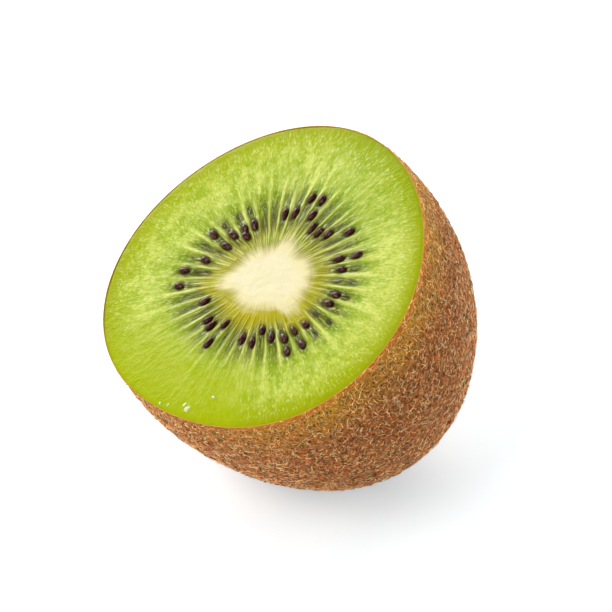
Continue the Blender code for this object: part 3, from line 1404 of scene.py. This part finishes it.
@dataclass
class HairCoat:
    """Short curly hairs all over the skin, as thin three-sided tubes.

    Lengths, widths and gaps are in millimetres, and curl and wriggle in radians.
    """

    fruit: Fruit
    skin: SkinCup
    effects: Effects
    count: int = 42000
    segments: int = 3
    shake: float = 0.7
    length: tuple[float, float] = (0.55, 1.65)
    width: tuple[float, float] = (0.036, 0.060)
    curl: float = 2.2
    wriggle: float = 0.7
    rise: tuple[float, float] = (0.15, 0.9)
    droop: float = 1.75
    rubbed_depth: float = 0.09
    rubbed_side: float = 195.0
    rubbed_share: float = 0.75
    rim_guard: tuple[float, float] = (0.5, 1.7)
    floor_gap: float = 0.06
    tuft: int = 70
    tuft_length: tuple[float, float] = (0.9, 1.8)
    tuft_radius: float = 2.1
    draw: int = 41
    tones: tuple[HairTone, ...] = (
        HairTone("gold", linear(242, 190, 118), linear(255, 242, 196), 0.31),
        HairTone("tan", linear(224, 150, 84), linear(255, 208, 138), 0.28),
        HairTone("rust", linear(204, 106, 56), linear(248, 150, 94), 0.26),
        HairTone("dark", linear(80, 42, 18), linear(128, 76, 40), 0.15),
    )

    def roots(self, draw: np.random.Generator) -> tuple[np.ndarray, np.ndarray]:
        """Where the hairs grow: a spiral that fills the skin evenly, then shaken.

        Args:
            draw: the random draw.

        Returns:
            Bearings and depths.
        """
        depths = np.sin(np.linspace(0, 0.9995, 400) * math.pi / 2)
        rings = self.fruit.outside(*np.meshgrid(np.linspace(0, math.tau, 181), depths))
        girth = np.linalg.norm(np.diff(rings, axis=1), axis=-1).sum(1)
        slope = np.linalg.norm(np.diff(rings, axis=0), axis=-1).mean(1)
        area = np.concatenate([[0], np.cumsum((girth[1:] + girth[:-1]) / 2 * slope)])
        spot = (np.arange(self.count) + 0.5) / self.count
        spacing = math.sqrt(area[-1] / self.count)
        golden = math.pi * (3 - math.sqrt(5))
        depth = np.interp(spot * area[-1], area, depths)
        shake = draw.normal(0, self.shake * spacing, (2, self.count)) / self.fruit.face_radius
        bearing = np.arange(self.count) * golden + shake[0]
        return np.mod(bearing, math.tau), np.clip(depth + shake[1], 0.001, 0.9995)

    def paths(self, draw: np.random.Generator) -> np.ndarray:
        """Each hair's middle line.

        Args:
            draw: the random draw.

        Returns:
            Points in the fruit's frame, by hair and place along it.
        """
        bearing, depth = self.roots(draw)
        root = self.skin.surface(bearing, depth)
        step, here = 1e-3, self.fruit.outside(bearing, depth)
        down = self.fruit.outside(bearing, np.minimum(depth + step, 0.9995)) - here
        side = self.fruit.outside(bearing + step, depth) - here
        normal, first = unit(np.cross(down, side)), unit(down)
        second = np.cross(normal, first)

        number = len(root)
        heading = draw.uniform(0, math.tau, number)
        curl = draw.normal(0, 1.0, number) * self.curl
        wriggle = draw.uniform(0, math.tau, number)
        rise = draw.uniform(*self.rise, number)
        rubbed = 0.5 + 0.5 * np.cos(bearing - math.radians(self.rubbed_side))
        rubbed = np.exp(-((depth / self.rubbed_depth) ** 2)) * rubbed
        shortest, longest = self.length
        length = shortest + (longest - shortest) * draw.uniform(0, 1, number) ** 1.6
        length = length * MM * (1 - self.rubbed_share * rubbed)
        guarded, loose = self.rim_guard
        below = depth * self.fruit.half_length / MM
        free = np.clip((below - guarded) / (loose - guarded), 0, 1)
        places = [root - normal * 0.05 * MM]
        for place in range(self.segments):
            share = (place + 0.5) / self.segments
            angle = heading + curl * share + self.wriggle * np.sin(wriggle + 5.0 * share)
            lift = rise * (1 - self.droop * share)
            downward = np.where(np.cos(angle) < 0, np.cos(angle) * free, np.cos(angle))
            flat = downward[:, None] * first + np.sin(angle)[:, None] * second
            way = unit(flat + lift[:, None] * normal)
            places.append(places[-1] + way * (length / self.segments)[:, None])
        return np.stack(places, 1)

    def tuft_paths(self, draw: np.random.Generator) -> np.ndarray:
        """The dried bristles that stand in a ring on the blossom end's nub.

        Args:
            draw: the random draw.

        Returns:
            Points in the fruit's frame, by bristle and place along it.
        """
        bearing = draw.uniform(0, math.tau, self.tuft)
        away = np.stack([np.cos(bearing), np.sin(bearing), np.zeros(self.tuft)], -1)
        reach = self.tuft_radius * MM * draw.uniform(0.35, 1.0, self.tuft)[:, None]
        end = np.array([*self.fruit.end_lean, -self.fruit.half_length - self.skin.nub_height / 2])
        lean = draw.uniform(0.2, 1.1, self.tuft)[:, None]
        way = unit(away * lean + np.array([0, 0, -1.0]) + draw.normal(0, 0.25, (self.tuft, 3)))
        length = draw.uniform(*self.tuft_length, self.tuft)[:, None] * MM
        shares = np.linspace(0, 1, self.segments + 1)
        sag = away * length * 0.35
        return np.stack([end + away * reach + way * length * t + sag * t * t for t in shares], 1)

    def make(self) -> list[bpy.types.Object]:
        """Builds the coat, one piece a tone.

        Returns:
            The pieces.
        """
        draw = np.random.default_rng(self.draw)
        paths = draw.permutation(self.fruit.to_row(self.paths(draw)))
        paths = np.concatenate([paths, self.fruit.to_row(self.tuft_paths(draw))])
        paths[..., 2] = np.maximum(paths[..., 2], self.floor_gap * MM)
        ends = np.round(np.cumsum([0] + [tone.share for tone in self.tones]) * self.count).astype(int)
        ends[-1] = len(paths)
        made = []
        for tone, start, stop in zip(self.tones, ends[:-1], ends[1:]):
            finish = HairFinish(self.effects, tone.root, tone.tip)
            mesh = self._tubes(paths[start:stop], draw, f"hairs_{tone.name}")
            made.append(lay_piece(mesh.name, mesh, finish.material(f"{tone.name}_hair")))
        return made

    def _tubes(self, paths: np.ndarray, draw: np.random.Generator, name: str) -> bpy.types.Mesh:
        """Tapered three-sided tubes along some paths.

        Args:
            paths: points by hair and place along it.
            draw: the random draw.
            name: the mesh's name.

        Returns:
            The mesh, with how far along its hair each point is and the hair's own tone.
        """
        ahead = unit(np.gradient(paths, axis=1))
        across = unit(np.cross(ahead, np.array([0.31, 0.57, 0.76])))
        upward = np.cross(ahead, across)
        share = np.linspace(0, 1, paths.shape[1])
        radius = draw.uniform(*self.width, len(paths))[:, None] * MM * (1 - 0.75 * share**2)[None]
        spokes = [across * math.cos(angle) + upward * math.sin(angle) for angle in all_round(3)]
        points = np.stack([paths + spoke * radius[..., None] for spoke in spokes], 2)[:, :-1]
        points[..., 2] = np.maximum(points[..., 2], 0.0)
        sheet = Sheet()
        numbers = sheet.add_points(points)
        sheet.add_rows(numbers)
        sheet.add_cap(numbers[:, -1], paths[:, -1])
        root = numbers[:, 0, ::-1]
        sheet.faces.append(np.concatenate([root, root[:, 2:]], -1))
        mesh = sheet.mesh(name)
        along = np.broadcast_to(share[None, :-1, None], points.shape[:3])
        tone = draw.uniform(0, 1, len(paths))
        tones = np.broadcast_to(tone[:, None, None], points.shape[:3])
        set_values(mesh, "hair_along", np.concatenate([along.ravel(), np.ones(len(paths))]))
        set_values(mesh, "hair_tone", np.concatenate([tones.ravel(), tone]))
        return mesh


@dataclass
class JuiceDrops:
    """A few small drops of juice that stand on the cut face near its lower edge.

    Each drop is its bearing in degrees, its share of the way to the rim and its radius in
    millimetres. The height is a share of the radius.
    """

    fruit: Fruit
    drops: tuple[tuple[float, float, float], ...] = (
        (301.7, 0.935, 0.48), (299.6, 0.915, 0.3), (289.0, 0.969, 0.24),
        (292.6, 0.955, 0.22), (310.9, 0.822, 0.25),
    )
    height: float = 0.35
    uneven: float = 0.2
    columns: int = 24
    rows: int = 8

    def make(self, material: bpy.types.Material) -> bpy.types.Object:
        """Builds the piece.

        Args:
            material: the juice's finish.

        Returns:
            The piece.
        """
        around = all_round(self.columns)[None]
        angle = np.linspace(0, 1, self.rows + 1)[:-1, None] * math.pi / 2
        sheet = Sheet()
        for bearing, share, radius in self.drops:
            b = math.radians(bearing)
            waves = np.cos(2 * around + 9 * b) + 0.7 * np.cos(3 * around + 23 * b)
            uneven = 1 + self.uneven * waves
            reach = share * float(self.fruit.face_at(np.array(b)))
            middle = np.array([reach * math.cos(b), reach * math.sin(b), -0.05 * MM])
            top = middle + np.array([0, 0, self.height * radius * MM])
            dome = np.stack([
                np.cos(angle) * np.cos(around) * uneven, np.cos(angle) * np.sin(around) * uneven,
                np.sin(angle) * self.height * np.ones_like(around),
            ], -1) * radius * MM
            rows = sheet.add_points(self.fruit.to_row(dome + middle))
            sheet.add_rows(rows)
            sheet.add_cap(rows[-1], self.fruit.to_row(top))
            sheet.add_cap(rows[0][::-1], self.fruit.to_row(middle))
        return lay_piece("juice_drops", sheet.mesh("juice_drops"), material)


@dataclass(frozen=True)
class SoftLight:
    """A square light, with its turn from the camera's right and its height in degrees."""

    name: str
    turn: float
    height: float
    size: float
    power: float


@dataclass
class Studio:
    """The pale floor, the soft light and the camera."""

    fruit: Fruit
    azimuth: float = 67.1
    elevation: float = 40.0
    lens_pixels: float = 3000.0
    frame_pixels: int = 612
    face_radius_pixels: float = 182.86
    face_middle_pixels: tuple[float, float] = (262.9, 274.1)
    sensor: float = 36.0
    light_distance: float = 0.9
    surround: float = 0.3
    lights: tuple[SoftLight, ...] = (
        SoftLight("left", 240, 12, 0.62, 8.2),
        SoftLight("right", 345, 12, 0.62, 4.1),
        SoftLight("behind", 300, 40, 0.62, 2.05),
        SoftLight("front", 150, 40, 0.62, 5.5),
        SoftLight("spark", 212, 54, 0.10, 0.5),
    )

    def axes(self) -> tuple[np.ndarray, np.ndarray, np.ndarray]:
        """The camera's right, up and back directions.

        Returns:
            Three unit vectors.
        """
        a, e = math.radians(self.azimuth), math.radians(self.elevation)
        back = np.array([math.sin(a) * math.cos(e), -math.cos(a) * math.cos(e), math.sin(e)])
        right = np.array([math.cos(a), math.sin(a), 0])
        return right, np.cross(back, right), back

    def add_camera(self) -> None:
        """Sets the camera where the photograph was taken from."""
        right, up, back = self.axes()
        scale = self.face_radius_pixels / self.fruit.face_radius
        half = self.frame_pixels / 2
        aside = (half - self.face_middle_pixels[0]) / scale
        above = (self.face_middle_pixels[1] - half) / scale
        target = self.fruit.place() + right * aside + up * above
        data = bpy.data.cameras.new("camera")
        data.sensor_width = self.sensor
        data.lens = self.sensor * self.lens_pixels / self.frame_pixels
        data.clip_start, data.clip_end = 0.01, 20.0
        camera = self._hang(data, target + back * self.lens_pixels / scale, back)
        bpy.context.scene.camera = camera

    @staticmethod
    def _hang(data: bpy.types.ID, spot: np.ndarray, back: np.ndarray) -> bpy.types.Object:
        """Hangs a camera or a light.

        Args:
            data: the camera or the light.
            spot: where it hangs.
            back: the direction that it faces away from.

        Returns:
            The object.
        """
        hung = bpy.data.objects.new(data.name, data)
        hung.location = spot
        hung.rotation_mode = "QUATERNION"
        hung.rotation_quaternion = Vector(-back).to_track_quat("-Z", "Y")
        bpy.context.scene.collection.objects.link(hung)
        return hung

    def add_floor(self) -> None:
        """Lays a plain pale floor."""
        bpy.ops.mesh.primitive_plane_add(size=6)
        floor = bpy.context.object
        floor.name = "floor"
        floor.data.materials.append(Coating("pale_floor").finish(
            Base_Color=(0.98, 0.94, 0.91, 1), Roughness=0.9, Specular_IOR_Level=0.05,
            Emission_Color=(0.55, 0.83, 0.96, 1), Emission_Strength=0.39,
        ))

    def add_light(self, light: SoftLight) -> None:
        """Hangs a soft square light that faces the fruit.

        Args:
            light: where it hangs and how bright it is.
        """
        data = bpy.data.lights.new(light.name, "AREA")
        data.shape, data.size, data.energy = "SQUARE", light.size, light.power
        right, _, _ = self.axes()
        nearer = np.cross(right, [0, 0, 1.0])
        turn, height = math.radians(light.turn), math.radians(light.height)
        level = right * math.cos(turn) + nearer * math.sin(turn)
        way = level * math.cos(height) + np.array([0, 0, math.sin(height)])
        self._hang(data, self.fruit.place() + way * self.light_distance, way)

    def add_lights(self) -> None:
        """Adds the soft lights and an even white surround."""
        for light in self.lights:
            self.add_light(light)
        world = bpy.data.worlds.new("surround")
        world.use_nodes = True
        background = world.node_tree.nodes["Background"].inputs
        background["Color"].default_value = (1, 1, 1, 1)
        background["Strength"].default_value = self.surround
        bpy.context.scene.world = world
        bpy.context.scene.view_settings.view_transform = "Standard"


def main() -> None:
    """Builds every sub-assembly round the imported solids."""
    logging.basicConfig(level=logging.INFO, format="%(name)s: %(message)s")
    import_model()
    fruit, bed = Fruit(), SeedBed()
    seeds = bed.seeds(fruit)
    effects = Effects(fruit)
    studio = Studio(fruit)
    studio.add_camera()
    studio.add_floor()
    studio.add_lights()
    skin = SkinCup(fruit)
    CutFlesh(fruit, seeds, bed.size).make(FleshFinish(effects).material())
    CoreColumn(fruit).make(CoreFinish(effects).material())
    SeedRing(fruit, seeds, bed.size).make(SeedFinish(effects).material())
    skin.make(SkinFinish(effects).material())
    HairCoat(fruit, skin, effects).make()
    JuiceDrops(fruit).make(JuiceFinish(effects).material())


if __name__ == "__main__":
    main()
